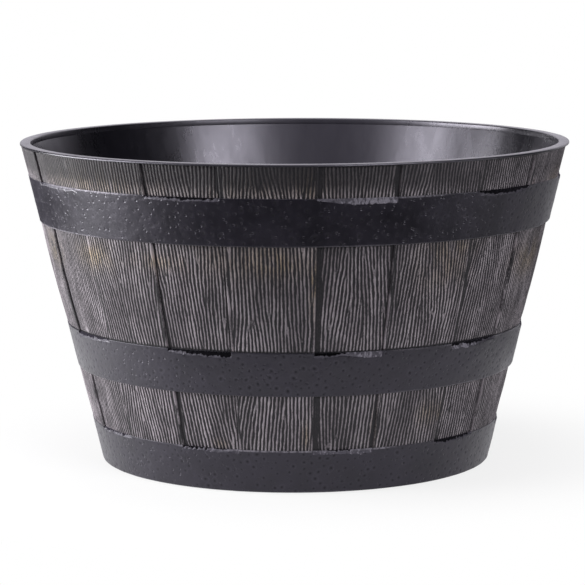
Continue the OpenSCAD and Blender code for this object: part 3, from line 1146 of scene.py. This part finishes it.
# %% Shell and plug
resin = Finish(
    "satin_resin", Specular_IOR_Level=0.5, Specular_Tint=COOL,
    Sheen_Weight=0.03, Sheen_Roughness=0.5, Sheen_Tint=COOL_SHEEN,
)
haze = resin.noise(9, (1, 1, 0.6), 3, 0.5)
fine = resin.noise(420, (1, 1, 0.3), 3, 0.55)
scuff = resin.noise(70, (1, 1, 3.5), 4, 0.6, 1.5).step(0.62, 0.75)
mottle = resin.noise(75, (1, 1, 0.35), 2, 0.5)
resin_material = resin.finish(
    Base_Color=resin.mix(haze.step(0.3, 0.7) * 0.7 + scuff * 0.3, grey(5, 5, 8), grey(11, 10, 16)),
    Roughness=0.30 + (haze - 0.5) * 0.2 + (mottle - 0.5) * 0.14 + (fine - 0.5) * 0.08 + scuff * 0.12,
    Normal=resin.bump(fine * 0.04 + haze + mottle * 0.3, 0.0006, 0.6),
)

rubber = Finish("soft_rubber", Specular_IOR_Level=0.35)
dust = rubber.noise(160, (1, 1, 1), 4, 0.6)
rubber_material = rubber.finish(
    Base_Color=rubber.mix(dust.step(0.45, 0.75), grey(24, 24, 25), grey(52, 51, 49)),
    Roughness=0.6 + (dust - 0.5) * 0.3,
    Normal=rubber.bump(dust, 0.0002, 0.6),
)

for pieces, material in (
    (staves, wood_material), (hoops, iron_material), ((shell, ribs), resin_material),
    ((plug, plug_tab), rubber_material),
):
    for piece in pieces:
        piece.data.materials.append(material)
print("finishes:", [m.name for m in bpy.data.materials])

# %% [markdown]
# ## Floor and world
# The photograph is a studio shot on white. The white comes from what the camera is shown: the
# floor and the world glow white to the camera's rays and to reflections, and stay modest as
# lights. Near the pot, a good fifth of the floor's own shading is kept, so the pot has its
# soft shadow, and it fades out within half a metre.

# %% Floor
FLOOR_HALF = 15
SHADOW_NEAR, SHADOW_FAR = 0.24, 0.48
TO_REFLECTIONS = 0.35
TO_CAMERA_NEAR, TO_CAMERA_MORE = 0.43, 0.22

floor_face = bmesh.new()
bmesh.ops.create_grid(floor_face, x_segments=2, y_segments=2, size=FLOOR_HALF)
floor_mesh = as_mesh(floor_face, "floor")
floor = bpy.data.objects.new("floor", floor_mesh)
bpy.context.scene.collection.objects.link(floor)

pale = Finish("pale_floor", Roughness=0.9)
pale.finish(Base_Color=pale.mix(pale.noise(3), grey(228, 228, 228), grey(232, 232, 232)))
seen = pale.ray("Camera").maths("MAXIMUM", pale.ray("Glossy"))
seen = seen.maths("MAXIMUM", pale.ray("Transmission"))
glow = pale.node("ShaderNodeEmission", {}, {"Color": (1, 1, 1), "Strength": 1.0})
reach = pale.node("ShaderNodeVectorMath", {"operation": "LENGTH"}, {0: pale.place()}, output="Value")
to_camera = reach.step(SHADOW_NEAR, SHADOW_FAR) * TO_CAMERA_MORE + TO_CAMERA_NEAR
share = pale.ray("Camera") * to_camera + seen * TO_REFLECTIONS
blend = pale.node("ShaderNodeMixShader", {}, {0: share, 1: Sock(pale, pale.shader.outputs[0]), 2: glow})
pale.tree.links.new(blend.socket, pale.tree.nodes["Material Output"].inputs["Surface"])
floor_mesh.materials.append(pale.material)
print("floor:", 2 * FLOOR_HALF, "metres square")

# %% World
ROOM_LIGHT = 0.2
WHITE = 1.0
ROOM_TINT = (0.95, 0.92, 1.0, 1)

world = bpy.data.worlds.new("studio")
bpy.context.scene.world = world
world.use_nodes = True
wires = world.node_tree
paths = wires.nodes.new("ShaderNodeLightPath")
shown = paths.outputs["Is Camera Ray"]
for kind in ("Is Glossy Ray", "Is Transmission Ray"):
    either = wires.nodes.new("ShaderNodeMath")
    either.operation = "MAXIMUM"
    wires.links.new(shown, either.inputs[0])
    wires.links.new(paths.outputs[kind], either.inputs[1])
    shown = either.outputs[0]
strength = wires.nodes.new("ShaderNodeMapRange")
strength.inputs["To Min"].default_value = ROOM_LIGHT
strength.inputs["To Max"].default_value = WHITE
wires.links.new(shown, strength.inputs["Value"])
room = wires.nodes.new("ShaderNodeMix")
room.data_type = "RGBA"
room.inputs[6].default_value = ROOM_TINT
room.inputs[7].default_value = (1, 1, 1, 1)
wires.links.new(paths.outputs["Is Camera Ray"], room.inputs["Factor"])
background = wires.nodes["Background"]
wires.links.new(room.outputs[2], background.inputs["Color"])
wires.links.new(strength.outputs[0], background.inputs["Strength"])
print("world nodes:", len(wires.nodes))

# %% [markdown]
# ## Dark cloths
# Satin black shows what stands round it, and in the photograph it shows a dim front and dim
# stretches behind. Black cloths give it that: strips that lie on the floor or stand upright
# round the pot. Each is a line that is spun about the axis, it thins out towards its two
# ends, and the camera doesn't see it.

# %% Cloths round the pot
# Two ends of each strip, as (radius, height), and how dense the cloth is at some azimuths
CLOTHS = (
    ((0.50, 0.002), (3.4, 0.002), ((-80, 0), (-34, 1), (40, 1), (75, 0.55), (140, 0.4), (165, 0))),
    ((0.8, 0.002), (3.2, 0.002), ((-178, 0), (-160, 1), (-104, 1), (-88, 0))),
    ((3.3, 0.002), (3.3, 3.4), ((46, 0), (60, 1), (120, 1), (140, 0))),
    ((3.3, 0.002), (3.3, 2.6), ((-156, 0), (-144, 1), (-118, 1), (-106, 0))),
)
CLOTH_STEPS = 48

cloth = bmesh.new()
dense = cloth.verts.layers.float.new("dense")
for (r0, z0), (r1, z1), ends in CLOTHS:
    from_angle, to_angle = ends[0][0], ends[-1][0]
    line = [cloth.verts.new((r0, 0, z0)), cloth.verts.new((r1, 0, z1))]
    edge = cloth.edges.new(line)
    start = Matrix.Rotation(math.radians(from_angle - 90), 3, "Z")
    bmesh.ops.rotate(cloth, verts=line, cent=(0, 0, 0), matrix=start)
    before = set(cloth.verts) - set(line)
    bmesh.ops.spin(
        cloth, geom=line + [edge], cent=(0, 0, 0), axis=(0, 0, 1),
        angle=math.radians(to_angle - from_angle), steps=CLOTH_STEPS,
    )
    for v in set(cloth.verts) - before:
        degrees = math.degrees(math.atan2(v.co.y, v.co.x)) + 90
        degrees = (degrees - from_angle + 1) % 360 + from_angle - 1
        v[dense] = np.interp(degrees, [e[0] for e in ends], [e[1] for e in ends])
cloth_mesh = as_mesh(cloth, "dark_cloth")
dark_cloth = bpy.data.objects.new("dark_cloth", cloth_mesh)
bpy.context.scene.collection.objects.link(dark_cloth)
dark_cloth.visible_camera = False
black = Finish("black_cloth", Roughness=0.95, Specular_IOR_Level=0.0)
black.finish(
    Base_Color=black.mix(black.noise(5), grey(16, 16, 17), grey(20, 20, 21)),
    Alpha=black.value("dense"),
)
cloth_mesh.materials.append(black.material)
print("cloths:", len(CLOTHS), "with", len(cloth_mesh.polygons), "faces")

# %% [markdown]
# ## Soft boxes
# A broad soft light stands low at the left and brightens that side of the pot. A smaller one
# above it makes the bright spot on the far wall inside, and two at the right and one overhead
# fill in. All are plain area lights that face the pot.

# %% Soft boxes
AIM = Vector((0, 0, 0.2))
# Name, azimuth, height, distance, width, height of the panel and watts. Azimuth 0 is the
# camera's side, and 90 is the right.
BOXES = (
    ("left_box", -90, 0.36, 1.85, 1.5, 0.72, 68),
    ("high_box", -66, 0.95, 1.9, 1.0, 0.5, 20),
    ("right_box", 34, 1.1, 2.2, 1.3, 0.4, 38),
    ("low_box", 68, 0.2, 1.9, 1.2, 0.35, 8),
    ("top_box", 180, 2.4, 0.3, 1.8, 1.8, 26),
)
for name, side, height, distance, width, tall, watts in BOXES:
    lamp = bpy.data.lights.new(name, "AREA")
    lamp.shape = "RECTANGLE"
    lamp.size, lamp.size_y = width, tall
    lamp.energy = watts
    light = bpy.data.objects.new(name, lamp)
    a = math.radians(side)
    light.location = (distance * math.sin(a), -distance * math.cos(a), height)
    light.rotation_euler = (Vector(light.location) - AIM).to_track_quat("Z", "Y").to_euler()
    bpy.context.scene.collection.objects.link(light)
print("lights:", [box[0] for box in BOXES])
